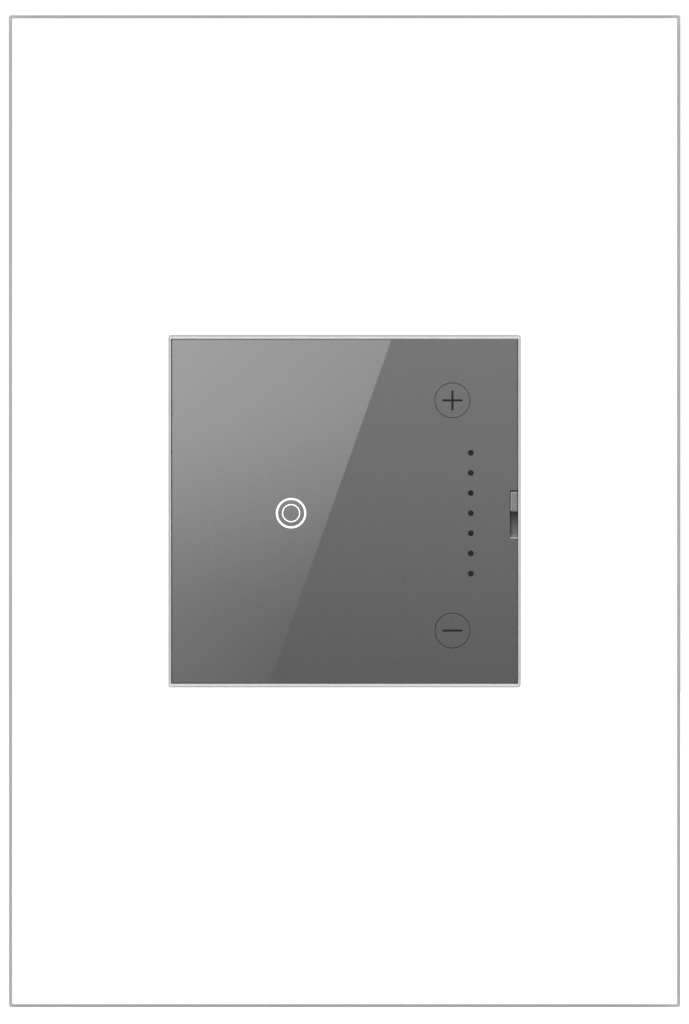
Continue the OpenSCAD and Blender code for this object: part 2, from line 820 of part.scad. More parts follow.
function lead_up(i) = -16 + 3 * (i % 2);   // height at which a lead's insulation ends

// A curved piece of lead in the Y-Z plane, starting at an angle measured from Z towards Y
module lead_arc(centre_y, centre_z, r, start, sweep) {
    translate([0, centre_y, centre_z]) rotate([0, -90, 0]) rotate([0, 0, start])
        rotate_extrude(angle = sweep) translate([r, 0]) circle(d = lead_d);
}

// A lead leaves the power board, turns down behind the body and folds back up
module lead(i) {
    translate([lead_x[i], 0, 0]) {
        rod(lead_d, [0, lead_z], y_parts, lead_y - lead_bend);
        lead_arc(lead_y - lead_bend, lead_z - lead_bend, lead_bend, 0, 90);
        translate([0, lead_y, lead_fold_z])
            cylinder(h = lead_z - lead_bend - lead_fold_z, d = lead_d);
        lead_arc(lead_y + lead_hairpin, lead_fold_z, lead_hairpin, 90, 180);
        translate([0, lead_y + 2 * lead_hairpin, lead_fold_z])
            cylinder(h = lead_up(i) - lead_fold_z, d = lead_d);
    }
}

module line_lead() {
    color("#1c1c1d") lead(0);
}

module load_lead() {
    color("#b3261e") lead(1);
}

module neutral_lead() {
    color("#eeeeea") lead(2);
}

module ground_lead() {
    color("#1f7a3f") lead(3);
}

module lead_ends() {
    color("#b87333") for (i = [0 : 3])
        translate([lead_x[i], lead_y + 2 * lead_hairpin, lead_up(i)]) cylinder(h = 10, d = bare_d);
}

mounting_frame();
wall_plate();
box_screws();
trim_bezel();
touch_panel();
target_rings();
plus_mark();
minus_mark();
sensor_film();
touch_electrodes();
front_chassis();
level_light_pipes();
target_light_guide();
light_shield();
touch_board();
level_leds();
target_leds();
touch_controller();
film_connector();
board_header();
air_gap_slider();
detent_spring();
air_gap_lever();
lever_pivot_pin();
bridge_contact();
fixed_contacts();
contact_base();
heat_sink();
thermal_pad();
triac();
triac_screw();
power_board();
choke_core();
choke_winding();
film_capacitor();
bulk_capacitor();
varistor();
thermal_fuse();
rear_housing();
housing_screws();
frame_clips();
lead_grommets();
line_lead();
load_lead();
neutral_lead();
ground_lead();
lead_ends();
rating_label();
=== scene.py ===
"""The looks of a wall-mounted touch dimmer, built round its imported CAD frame. Metres, Z up, front at -Y."""

import json
import math
import random

import bmesh
import bpy
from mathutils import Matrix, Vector


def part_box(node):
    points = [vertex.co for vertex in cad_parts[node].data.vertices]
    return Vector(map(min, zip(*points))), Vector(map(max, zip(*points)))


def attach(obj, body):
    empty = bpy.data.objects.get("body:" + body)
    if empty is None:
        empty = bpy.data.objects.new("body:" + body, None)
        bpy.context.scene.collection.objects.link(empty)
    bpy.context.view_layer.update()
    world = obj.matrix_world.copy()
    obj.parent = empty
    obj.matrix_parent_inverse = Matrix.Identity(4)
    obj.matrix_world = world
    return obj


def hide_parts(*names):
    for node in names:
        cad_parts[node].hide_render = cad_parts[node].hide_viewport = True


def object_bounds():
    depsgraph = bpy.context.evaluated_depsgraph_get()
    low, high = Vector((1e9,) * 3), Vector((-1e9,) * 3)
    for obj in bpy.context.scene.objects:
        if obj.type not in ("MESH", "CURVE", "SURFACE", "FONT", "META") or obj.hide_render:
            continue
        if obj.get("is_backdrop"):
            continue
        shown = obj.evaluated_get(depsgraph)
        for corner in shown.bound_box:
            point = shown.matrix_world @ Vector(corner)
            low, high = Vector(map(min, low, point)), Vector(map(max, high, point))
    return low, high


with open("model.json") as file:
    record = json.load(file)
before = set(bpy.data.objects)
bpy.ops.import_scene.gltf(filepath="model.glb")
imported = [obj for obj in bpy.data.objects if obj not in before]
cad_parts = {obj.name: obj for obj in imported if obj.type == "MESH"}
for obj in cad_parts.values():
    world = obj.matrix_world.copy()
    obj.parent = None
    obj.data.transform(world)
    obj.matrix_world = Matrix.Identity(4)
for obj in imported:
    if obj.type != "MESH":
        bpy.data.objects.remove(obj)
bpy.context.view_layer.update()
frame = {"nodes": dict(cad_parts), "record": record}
nodes = frame["nodes"]
MM = 0.001
DEVICE = "device"
# thickness of the wall plate's front
PLATE_T = 2 * MM
# cosines between a line of sight and the wall's normal over which plate, floor and backdrop turn pure white
SQUARE_ON = (0.97, 0.995)
# a roughness that varies across this value comes out in hard-edged patches, so varied ones stay above it
LEAST_VARIED_ROUGHNESS = 0.28
random.seed(11)


# ---------- small mesh tools ----------

def solid(name, verts, faces):
    """A mesh object of these corners and faces, with its normals outward."""
    mesh = bpy.data.meshes.new(name)
    mesh.from_pydata([tuple(v) for v in verts], [], faces)
    work = bmesh.new()
    work.from_mesh(mesh)
    bmesh.ops.recalc_face_normals(work, faces=work.faces)
    work.to_mesh(mesh)
    work.free()
    thing = bpy.data.objects.new(name, mesh)
    bpy.context.scene.collection.objects.link(thing)
    return thing


def new_piece(name, verts, faces, body=DEVICE, smooth_angle=35):
    """A solid that rides on a body and is shaded smooth where its faces meet below an angle."""
    piece = solid(name, verts, faces)
    piece.data.shade_smooth()
    piece.data.set_sharp_from_angle(angle=math.radians(smooth_angle))
    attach(piece, body)
    return piece


def rounded_loop(w, h, r, y, steps=6):
    """Points of a rounded rectangle in the X-Z plane at depth y, the same number whatever its size."""
    points = []
    for sx, sz, start in ((1, 1, 0), (-1, 1, 90), (-1, -1, 180), (1, -1, 270)):
        for i in range(steps + 1):
            a = math.radians(start + 90 * i / steps)
            points.append((sx * (w / 2 - r) + r * math.cos(a), y, sz * (h / 2 - r) + r * math.sin(a)))
    return points


def skin(loops, closed):
    """Corners and faces between loops of equally many points; closed joins the last to the first."""
    n = len(loops[0])
    verts = [p for loop in loops for p in loop]
    pairs = [(i, i + 1) for i in range(len(loops) - 1)]
    if closed:
        pairs.append((len(loops) - 1, 0))
    faces = []
    for a, b in pairs:
        for k in range(n):
            after = (k + 1) % n
            faces.append((a * n + k, a * n + after, b * n + after, b * n + k))
    if not closed:
        faces.append(tuple(range(n - 1, -1, -1)))
        faces.append(tuple(range((len(loops) - 1) * n, len(loops) * n)))
    return verts, faces


def tube(points, radius, sides=18):
    """A round tube along points, with flat ends and no twist between one ring and the next."""
    points = [Vector(p) for p in points]
    side = Vector((1, 0, 0))
    loops = []
    for i, p in enumerate(points):
        ahead = (points[min(i + 1, len(points) - 1)] - points[max(i - 1, 0)]).normalized()
        side = (side - ahead * side.dot(ahead)).normalized()
        up = ahead.cross(side)
        turn = [2 * math.pi * k / sides for k in range(sides)]
        loops.append([p + (side * math.cos(a) + up * math.sin(a)) * radius for a in turn])
    return skin(loops, closed=False)


def carved(shape, cutter):
    """Corners and faces of one shape with another cut out of it."""
    whole, tool = solid("whole", *shape), solid("tool", *cutter)
    cut = whole.modifiers.new("cut", "BOOLEAN")
    cut.operation = "DIFFERENCE"
    cut.solver = "EXACT"
    cut.object = tool
    result = whole.evaluated_get(bpy.context.evaluated_depsgraph_get()).to_mesh()
    verts = [tuple(v.co) for v in result.vertices]
    faces = [tuple(face.vertices) for face in result.polygons]
    for thing in (whole, tool):
        bpy.data.objects.remove(thing)
    return verts, faces


def join(parts):
    """One list of corners and one of faces out of several."""
    verts, faces = [], []
    for part_verts, part_faces in parts:
        start = len(verts)
        verts += list(part_verts)
        faces += [tuple(i + start for i in face) for face in part_faces]
    return verts, faces


# ---------- materials ----------

def maths(tree, kind, a, b=0.0, clamp=False):
    """A maths node in a shader; a and b are numbers or the outputs of other nodes."""
    node = tree.nodes.new("ShaderNodeMath")
    node.operation = kind
    node.use_clamp = clamp
    for socket, value in zip(node.inputs, (a, b)):
        if isinstance(value, float):
            socket.default_value = value
        else:
            tree.links.new(value, socket)
    return node.outputs[0]


def ramp(tree, value, start, end, low, high, smooth=False):
    """Maps value from start..end onto low..high and holds the ends."""
    node = tree.nodes.new("ShaderNodeMapRange")
    node.interpolation_type = "SMOOTHSTEP" if smooth else "LINEAR"
    for socket, number in (("From Min", start), ("From Max", end), ("To Min", low), ("To Max", high)):
        node.inputs[socket].default_value = number
    tree.links.new(value, node.inputs["Value"])
    return node.outputs["Result"]


class Finish:
    """A node-based material: each call adds one node and wires it."""

    def __init__(self, name, colour, roughness, metallic=0.0, specular=0.5):
        self.material = bpy.data.materials.new(name)
        self.material.use_nodes = True
        self.tree = self.material.node_tree
        self.shader = self.tree.nodes["Principled BSDF"]
        self.place = self.add("ShaderNodeTexCoord").outputs["Object"]
        self.colour = colour
        self.set("Base Color", (*colour, 1))
        self.set("Roughness", roughness)
        self.set("Metallic", metallic)
        self.set("Specular IOR Level", specular)
        self.normal = None

    def add(self, kind, **settings):
        node = self.tree.nodes.new(kind)
        for key, value in settings.items():
            setattr(node, key, value)
        return node

    def set(self, socket, value):
        self.shader.inputs[socket].default_value = value

    def wire(self, source, target):
        self.tree.links.new(source, target)

    def noise(self, size, detail=2.0, stretch=(1, 1, 1)):
        """Noise whose grains are about size metres across, drawn out along the axes by stretch."""
        scaled = self.add("ShaderNodeMapping")
        scaled.inputs["Scale"].default_value = [1 / s for s in stretch]
        self.wire(self.place, scaled.inputs["Vector"])
        texture = self.add("ShaderNodeTexNoise")
        texture.inputs["Scale"].default_value = 1 / size
        texture.inputs["Detail"].default_value = detail
        self.wire(scaled.outputs["Vector"], texture.inputs["Vector"])
        return texture.outputs["Fac"]

    def spread(self, fac, low, high):
        """Maps a noise value, which seldom leaves 0.3 to 0.7, onto a range."""
        return ramp(self.tree, fac, 0.3, 0.7, low, high)

    def vary_colour(self, fac, amount):
        """Lightens and darkens the base colour by this share, following fac."""
        low = [max(0.0, c * (1 - amount)) for c in self.colour]
        high = [min(1.0, c * (1 + amount)) for c in self.colour]
        self.blend(self.spread(fac, 0, 1), high, low)

    def blend(self, fac, colour, under=None):
        """Lays a colour over what the base colour is so far (or over under), where fac is 1."""
        mix = self.add("ShaderNodeMix", data_type="RGBA")
        base = self.shader.inputs["Base Color"]
        mix.inputs["A"].default_value = (*(under or self.colour), 1)
        if base.is_linked and not under:
            self.wire(base.links[0].from_socket, mix.inputs["A"])
        mix.inputs["B"].default_value = (*colour, 1)
        self.wire(fac, mix.inputs["Factor"])
        self.wire(mix.outputs["Result"], base)

    def vary_roughness(self, fac, low, high):
        """Roughness between low and high, following fac."""
        low = max(low, LEAST_VARIED_ROUGHNESS)
        self.wire(self.spread(fac, low, max(low, high)), self.shader.inputs["Roughness"])

    def soften_edges(self, radius):
        """Shades edges as if they were rounded by this radius."""
        bevel = self.add("ShaderNodeBevel", samples=4)
        bevel.inputs["Radius"].default_value = radius
        self.normal = bevel.outputs["Normal"]
        self.wire(self.normal, self.shader.inputs["Normal"])

    def rub_and_highlight_edges(self, radius, colour, amount):
        """Colours edges lighter, in patches, partly as rubbed wear and partly as a painted highlight. An edge
        is where the bevelled normal leaves the face's own.
        """
        bevel = self.add("ShaderNodeBevel", samples=6)
        bevel.inputs["Radius"].default_value = radius
        own = self.add("ShaderNodeNewGeometry").outputs["True Normal"]
        agree = self.add("ShaderNodeVectorMath", operation="DOT_PRODUCT")
        self.wire(bevel.outputs["Normal"], agree.inputs[0])
        self.wire(own, agree.inputs[1])
        edge = ramp(self.tree, agree.outputs["Value"], 0.99, 0.85, 0.0, amount)
        patchy = self.spread(self.noise(3 * MM, 3), 0.3, 1.0)
        self.blend(maths(self.tree, "MULTIPLY", edge, patchy), colour)

    def facing(self, direction):
        """Cosine between the surface and a direction."""
        own = self.add("ShaderNodeNewGeometry").outputs["True Normal"]
        cosine = self.add("ShaderNodeVectorMath", operation="DOT_PRODUCT")
        self.wire(own, cosine.inputs[0])
        cosine.inputs[1].default_value = direction
        return cosine.outputs["Value"]

    def along(self, axis):
        """The object's X, Y or Z coordinate, in metres."""
        split = self.add("ShaderNodeSeparateXYZ")
        self.wire(self.place, split.inputs[0])
        return split.outputs[axis]

    def seen_square_on(self, away, head_on):
        """A value that goes from away to head_on as the line of sight turns square to the wall."""
        sight = self.add("ShaderNodeSeparateXYZ")
        self.wire(self.add("ShaderNodeNewGeometry").outputs["Incoming"], sight.inputs[0])
        towards = maths(self.tree, "MULTIPLY", sight.outputs["Y"], -1.0)
        return ramp(self.tree, towards, *SQUARE_ON, away, head_on)

    def bump(self, fac, height):
        """Raises the surface by height where fac is 1, on top of any softened edges."""
        node = self.add("ShaderNodeBump")
        node.inputs["Distance"].default_value = height
        self.wire(fac, node.inputs["Height"])
        if self.normal:
            self.wire(self.normal, node.inputs["Normal"])
        self.normal = node.outputs["Normal"]
        self.wire(self.normal, self.shader.inputs["Normal"])


def moulded(name, colour, roughness=0.45, grain=0.25 * MM, depth=0.006 * MM, edge=0.15 * MM,
            wear=0.0, flow=0.05):
    """Injection-moulded plastic: spark-eroded grain, flow marks, soft edges and, with wear, edges lightened
    partly as rubbed wear and partly as a painted highlight.
    """
    finish = Finish(name, colour, roughness, specular=0.4)
    if edge:
        finish.soften_edges(edge)
    finish.bump(finish.noise(grain, 3), depth)
    finish.vary_colour(finish.noise(9 * MM, 3), flow)
    finish.vary_roughness(finish.noise(4 * MM, 4), roughness - 1.4 * flow, roughness + 1.6 * flow)
    # edges lightened in patches: rubbed wear and a painted edge highlight
    if wear:
        finish.rub_and_highlight_edges(0.5 * MM, [0.6 * c + 0.16 for c in colour], wear)
    return finish


def metal(name, colour, roughness, brush=(1, 1, 1), size=0.4 * MM, depth=0.001 * MM, edge=0.08 * MM):
    """Metal with a brushed or rolled grain drawn out along one axis, and cloudy wear in its shine."""
    finish = Finish(name, colour, roughness, metallic=1.0)
    finish.soften_edges(edge)
    finish.bump(finish.noise(size, 3, brush), depth)
    finish.vary_colour(finish.noise(2.5 * MM, 4), 0.07)
    finish.vary_roughness(finish.noise(1.2 * MM, 3, brush), roughness * 0.75, roughness * 1.3)
    return finish


def panel_finish():
    """Touch panel: fine metallic flake under a mirror-smooth clear coat."""
    finish = Finish("panel_clear_coated", (0.054, 0.054, 0.054), 0.5, specular=0.1)
    finish.vary_colour(finish.noise(0.16 * MM, 1), 0.10)
    # painted highlight: edges that face up are coloured lighter, as if catching the light from above, the lip
    # below the notch fully and the panel's top edge faintly
    faces_up = ramp(finish.tree, finish.facing((0, 0, 1)), 0.3, 0.4, 0.0, 1.0)
    share = ramp(finish.tree, finish.along("Z"), 0.0, 1 * MM, 1.0, 0.3)
    finish.blend(maths(finish.tree, "MULTIPLY", faces_up, share), (0.42, 0.42, 0.42))
    finish.soften_edges(0.04 * MM)
    finish.set("Coat Weight", 1.0)
    finish.set("Coat Roughness", 0.0)
    finish.set("Coat IOR", 1.5)
    return finish


def slider_finish():
    """Satin tab with a painted highlight on its upper and left edges, over a hollow coloured with a painted
    shadow that is darkest under the tab.
    """
    grey = 0.143
    hollow = 3.1 * MM
    finish = moulded("slider_satin", (grey, grey, grey), 0.45, 0.12 * MM, 0.002 * MM, 0.04 * MM)
    mesh = nodes["air_gap_slider"].data
    front = min(v.co.y for v in mesh.vertices) + 0.01 * MM
    tab_z = min(v.co.z for v in mesh.vertices if v.co.y < front)
    # painted highlight: faces turned up and to the left are coloured lighter, as if catching the light
    lit = ramp(finish.tree, finish.facing((-0.6, 0, 0.8)), 0.3, 0.4, 0.0, 1.0)
    finish.blend(lit, (0.50, 0.50, 0.50))
    # painted shadow: below the tab the hollow is coloured darker towards the tab, where the tab's shadow
    # would fall
    z = finish.along("Z")
    under_tab = maths(finish.tree, "LESS_THAN", z, tab_z)
    shade = ramp(finish.tree, z, tab_z - hollow, tab_z, 0.0, 1.0)
    finish.blend(under_tab, (0.235, 0.235, 0.235))
    finish.blend(maths(finish.tree, "MULTIPLY", shade, under_tab), (0.105, 0.105, 0.105))
    # painted shade: the gap beside the notch's left edge is coloured dark
    tab_x = min(v.co.x for v in mesh.vertices if v.co.y < front)
    beside = ramp(finish.tree, finish.along("X"), tab_x - 0.04 * MM, tab_x + 0.1 * MM, 0.45, 0.0)
    finish.blend(maths(finish.tree, "MULTIPLY", beside, under_tab), (0.03, 0.03, 0.03))
    return finish


def trim_finish():
    """Satin silver paint with a fine metallic grain."""
    finish = Finish("trim_satin", (0.45, 0.45, 0.46), 0.4, metallic=0.3)
    finish.bump(finish.noise(0.15 * MM, 3), 0.0006 * MM)
    finish.vary_colour(finish.noise(0.2 * MM, 2), 0.03)
    finish.vary_roughness(finish.noise(1.2 * MM, 3), 0.35, 0.48)
    return finish


def plate_finish():
    """Satin white plastic with a painted glow, seen only by the camera, that turns it pure white when the
    camera stands square in front of it.
    """
    finish = moulded("plate_satin_white", (0.75, 0.75, 0.75), 0.3, 0.5 * MM, 0.0004 * MM, edge=0, flow=0.008)
    finish.set("Coat Weight", 0.15)
    finish.set("Coat Roughness", 0.15)
    finish.set("Emission Color", (1, 1, 1, 1))
    # painted glow: emission for camera rays alone, rising as the line of sight turns square to the wall
    by_camera = finish.add("ShaderNodeLightPath").outputs["Is Camera Ray"]
    glow = maths(finish.tree, "MULTIPLY", finish.seen_square_on(0.0, 0.3), by_camera)
    finish.wire(glow, finish.shader.inputs["Emission Strength"])
    return finish


def insulation(name, colour):
    """Extruded lead insulation: glossy skin with faint lengthwise lines and rubbed patches."""
    finish = Finish(name, colour, 0.35, specular=0.5)
    finish.bump(finish.noise(0.3 * MM, 2, (1, 1, 14)), 0.01 * MM)
    finish.vary_colour(finish.noise(5 * MM, 3), 0.08)
    finish.vary_roughness(finish.noise(3 * MM, 4), 0.28, 0.5)
    return finish


def board_finish():
    """Circuit board: green solder mask with slightly raised tracks showing through."""
    finish = Finish("solder_mask", (0.02, 0.14, 0.07), 0.35)
    tracks = finish.add("ShaderNodeTexBrick", offset=0.37, squash=1.6, squash_frequency=3)
    tracks.inputs["Scale"].default_value = 1 / (6 * MM)
    tracks.inputs["Mortar Size"].default_value = 0.05
    tracks.inputs["Color1"].default_value = (0.015, 0.10, 0.05, 1)
    tracks.inputs["Color2"].default_value = (0.02, 0.13, 0.065, 1)
    tracks.inputs["Mortar"].default_value = (0.05, 0.24, 0.12, 1)
    turn = finish.add("ShaderNodeMapping")
    turn.inputs["Rotation"].default_value = (math.radians(90), 0, 0)
    finish.wire(finish.place, turn.inputs["Vector"])
    finish.wire(turn.outputs["Vector"], tracks.inputs["Vector"])
    finish.wire(tracks.outputs["Color"], finish.shader.inputs["Base Color"])
    finish.bump(tracks.outputs["Fac"], 0.02 * MM)
    return finish


def label_finish():
    """Blank metallised label: a printed border and the rules of an empty table."""
    finish = metal("metallised_label", (0.66, 0.67, 0.68), 0.38, (12, 1, 1), 0.2 * MM, 0.001 * MM)
    finish.set("Metallic", 0.5)
    low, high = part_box("rating_label")
    half_x, half_z = (high.x - low.x) / 2, (high.z - low.z) / 2
    tree = finish.tree
    x = maths(tree, "SUBTRACT", finish.along("X"), (low.x + high.x) / 2)
    z = maths(tree, "SUBTRACT", finish.along("Z"), (low.z + high.z) / 2)
    # distance outside a rectangle set in from the label's edge
    inset, line = 1.3 * MM, 0.22 * MM
    past_x = maths(tree, "SUBTRACT", maths(tree, "ABSOLUTE", x), half_x - inset)
    past_z = maths(tree, "SUBTRACT", maths(tree, "ABSOLUTE", z), half_z - inset)
    past = maths(tree, "MAXIMUM", past_x, past_z)
    printed = maths(tree, "LESS_THAN", maths(tree, "ABSOLUTE", past), line / 2)
    inside = maths(tree, "LESS_THAN", past, 0.0)
    for along, at in ((z, 0.42 * half_z), (z, -0.10 * half_z), (z, -0.45 * half_z), (x, -0.25 * half_x)):
        rule = maths(tree, "ABSOLUTE", maths(tree, "SUBTRACT", along, at))
        rule = maths(tree, "LESS_THAN", rule, line / 3)
        printed = maths(tree, "MAXIMUM", printed, maths(tree, "MULTIPLY", rule, inside))
    finish.blend(printed, (0.03, 0.03, 0.03))
    return finish


def inlay_finishes():
    """The face's marks and the lenses, by slot: each is plain but for a faint grain."""
    inlays = {
        "ring_white": (Finish("inlay_white", (0.95, 0.95, 0.95), 0.5, specular=0.2), 0.3 * MM, 0.02),
        "mark_dark": (Finish("inlay_dark", (0.017, 0.017, 0.017), 0.7, specular=0.05), 0.2 * MM, 0.1),
        "smoke_lens": (Finish("smoked_lens", (0.012, 0.012, 0.012), 0.4, specular=0.05), 0.2 * MM, 0.1),
        "clear_lens": (Finish("frosted_lens", (0.85, 0.86, 0.87), 0.45), 0.5 * MM, 0.03),
        "led_cream": (Finish("led_lens", (0.80, 0.72, 0.42), 0.2), 0.3 * MM, 0.08),
    }
    for finish, grain, amount in inlays.values():
        finish.vary_colour(finish.noise(grain), amount)
    made = {slot: inlay[0] for slot, inlay in inlays.items()}
    made["ring_white"].set("Emission Color", (1, 1, 1, 1))
    made["ring_white"].set("Emission Strength", 0.12)
    made["clear_lens"].set("Transmission Weight", 0.5)
    return made


def finishes():
    """One material per slot of the record."""
    lead_colours = {
        "lead_black": (0.012, 0.012, 0.013), "lead_red": (0.42, 0.018, 0.012),
        "lead_white": (0.80, 0.79, 0.75), "lead_green": (0.02, 0.17, 0.06)}
    made = {
        "plate_white": plate_finish(),
        "frame_grey": moulded("frame_grey", (0.42, 0.42, 0.43), 0.5, 0.4 * MM, 0.012 * MM,
                              wear=0.25, flow=0.03),
        "trim_silver": trim_finish(),
        "panel_grey": panel_finish(),
        "slider_grey": slider_finish(),
        "chassis_grey": moulded("chassis_dark", (0.055, 0.055, 0.058), 0.5, 0.3 * MM, 0.01 * MM, wear=0.4),
        "housing_black": moulded("housing_black", (0.030, 0.030, 0.032), 0.5, 0.45 * MM, 0.02 * MM,
                                 edge=0.2 * MM, wear=0.5),
        "base_black": moulded("base_black", (0.04, 0.04, 0.045), 0.55),
        "nylon": moulded("natural_nylon", (0.75, 0.71, 0.60), 0.42),
        "connector_ivory": moulded("connector_ivory", (0.74, 0.68, 0.52), 0.5),
        "chip_black": moulded("moulded_epoxy", (0.018, 0.018, 0.019), 0.6, 0.08 * MM, 0.004 * MM),
        "core_yellow": moulded("powder_coat_yellow", (0.62, 0.45, 0.04), 0.5, 0.3 * MM, 0.02 * MM, 0.4 * MM),
        "capacitor_yellow": moulded("potted_box", (0.55, 0.33, 0.03), 0.35),
        "can_black": moulded("shrink_sleeve", (0.02, 0.022, 0.028), 0.25, 2 * MM, 0.01 * MM),
        "varistor_blue": moulded("dipped_epoxy", (0.03, 0.10, 0.34), 0.3, 1.2 * MM, 0.02 * MM),
        "fuse_ceramic": moulded("bare_ceramic", (0.72, 0.69, 0.60), 0.6, 0.1 * MM, 0.004 * MM),
        "grommet_rubber": moulded("grommet_rubber", (0.014, 0.014, 0.014), 0.7, 0.2 * MM, 0.01 * MM),
        "pad_blue": moulded("silicone_pad", (0.26, 0.33, 0.42), 0.75, 0.3 * MM, 0.01 * MM),
        "film_amber": moulded("polyimide_film", (0.45, 0.20, 0.03), 0.25, 1 * MM, 0.003 * MM, 0.03 * MM),
        "copper": metal("copper", (0.86, 0.42, 0.24), 0.28),
        "header_gold": metal("gold_plate", (0.88, 0.64, 0.28), 0.25),
        "sink_aluminium": metal("rolled_aluminium", (0.78, 0.79, 0.80), 0.35, (14, 1, 1)),
        "zinc_steel": metal("zinc_plate", (0.52, 0.53, 0.54), 0.32),
        "spring_steel": metal("spring_steel", (0.52, 0.52, 0.51), 0.32, (1, 1, 10)),
        "screw_dark": metal("black_oxide", (0.10, 0.10, 0.105), 0.4),
        "board_green": board_finish(),
        "label_silver": label_finish(),
    }
    made.update({slot: insulation(slot, colour) for slot, colour in lead_colours.items()})
    made.update(inlay_finishes())
    return {slot: finish.material for slot, finish in made.items()}


MATERIALS = finishes()
SLOT_OF = {part["node"]: part["material_slot"] for part in frame["record"]["subparts"]}


def paint(piece, slot):
    """Gives a new piece the material of one of the record's slots."""
    piece.data.materials.clear()
    piece.data.materials.append(MATERIALS[slot])


def paint_cad():
    """Gives every CAD node its slot's material, and welds its seams so that it shades evenly."""
    for name, node in nodes.items():
        node.data.materials.clear()
        node.data.materials.append(MATERIALS[SLOT_OF[name]])
        weld = node.modifiers.new("weld", "WELD")
        weld.merge_threshold = 0.002 * MM


# ---------- pieces rebuilt with finer shapes ----------

def quarter(radius, steps):
    """(inset, depth) pairs round a convex quarter circle, from the side wall to the front face."""
    angles = [math.radians(90 * i / steps) for i in range(steps + 1)]
    return [(radius * (1 - math.cos(a)), radius * (1 - math.sin(a))) for a in angles]


def wall_plate():
    """The plate as one shell: skirt, rounded front edge, flared opening and the collar behind it."""
    low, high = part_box("wall_plate")
    trim_low, trim_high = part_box("trim_bezel")
    w, h = high.x - low.x, high.z - low.z
    front, back = low.y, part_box("mounting_frame")[0].y
    opening = trim_high.x - trim_low.x + 0.02 * MM
    wall, collar = 1.5 * MM, 1.2 * MM
    edge, flare = 0.45 * MM, 0.08 * MM
    corner, least_corner = 0.25 * MM, 0.12 * MM
    opening_corner, collar_corner, inner_corner = 0.3 * MM, 1 * MM, 0.8 * MM
    loops = [rounded_loop(w, h, corner, back)]
    for inset, depth in quarter(edge, 6):
        radius = max(corner - inset, least_corner)
        loops.append(rounded_loop(w - 2 * inset, h - 2 * inset, radius, front + depth))
    for inset, depth in reversed(quarter(flare, 5)):
        size = opening + 2 * inset
        loops.append(rounded_loop(size, size, opening_corner, front + depth))
    loops.append(rounded_loop(opening, opening, opening_corner, back))
    size = opening + 2 * collar
    for y in (back, front + PLATE_T):
        loops.append(rounded_loop(size, size, collar_corner, y))
    for y in (front + PLATE_T, back):
        loops.append(rounded_loop(w - 2 * wall, h - 2 * wall, inner_corner, y))
    piece = new_piece("wall_plate_shell", *skin(loops, closed=True))
    paint(piece, "plate_white")
    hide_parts("wall_plate")


def snap_hooks():
    """Four barbed hooks behind the plate that pass through the frame's windows."""
    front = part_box("wall_plate")[0].y + PLATE_T
    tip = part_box("wall_plate")[1].y
    hook_x, hook_z = 30 * MM, 52 * MM
    half_w, half_t = 3 * MM, 0.6 * MM
    barb = tip - 0.75 * MM
    # depth, and distance from the hook's middle towards the plate's nearer end
    outline = [(front, -half_t), (tip - half_t / 2, -half_t), (tip, -half_t / 2), (tip, 1.3 * MM),
               (tip - 0.25 * MM, 1.7 * MM), (barb, 1.9 * MM), (barb, half_t), (front, half_t)]
    hooks = []
    for x in (-hook_x, hook_x):
        for outward in (-1, 1):
            ring = [(y, outward * (hook_z + across)) for y, across in outline]
            loops = [[(at_x, y, z) for y, z in ring] for at_x in (x - half_w, x + half_w)]
            hooks.append(skin(loops, closed=False))
    piece = new_piece("plate_snap_hooks", *join(hooks))
    paint(piece, "plate_white")


def threaded_rod(x, z, start, end, major, pitch=0.794 * MM, sides=28):
    """A screw's thread along Y: rings whose radius rises and falls once per pitch round the helix."""
    depth = 0.55 * pitch
    rows_per_turn = 8
    half_ridge = 0.42          # share of the pitch that one flank takes
    point, point_start = 0.9 * pitch, 0.35
    rows = int((end - start) / pitch * rows_per_turn)
    loops = []
    for row in range(rows + 1):
        y = start + (end - start) * row / rows
        full = min(1.0, (end - y) / point + point_start)
        limit = major * (0.55 + 0.45 * full)
        loop = []
        for k in range(sides):
            phase = ((y - start) / pitch - k / sides) % 1
            ridge = max(0.0, 1 - abs(phase - 0.5) / half_ridge)
            radius = min(major - depth + depth * ridge, limit)
            a = 2 * math.pi * k / sides
            loop.append((x + radius * math.cos(a), y, z + radius * math.sin(a)))
        loops.append(loop)
    return skin(loops, closed=False)


def lathe(x, z, profile, sides=40):
    """A solid of revolution about a line along Y: profile is (radius, y) from one end to the other."""
    turn = [2 * math.pi * k / sides for k in range(sides)]
    loops = [[(x + r * math.cos(a), y, z + r * math.sin(a)) for a in turn] for r, y in profile]
    return skin(loops, closed=False)


def cross_bar(x, z, start, end, length, width):
    """A bar along Y with a plus-shaped section, as a cross-head driver's tip."""
    a, b = length / 2, width / 2
    arm = [(a, -b), (a, b), (b, b)]
    plus = []
    for _ in range(4):
        plus += arm
        arm = [(-v, u) for u, v in arm]
    return skin([[(x + u, y, z + v) for u, v in plus] for y in (start, end)], closed=False)


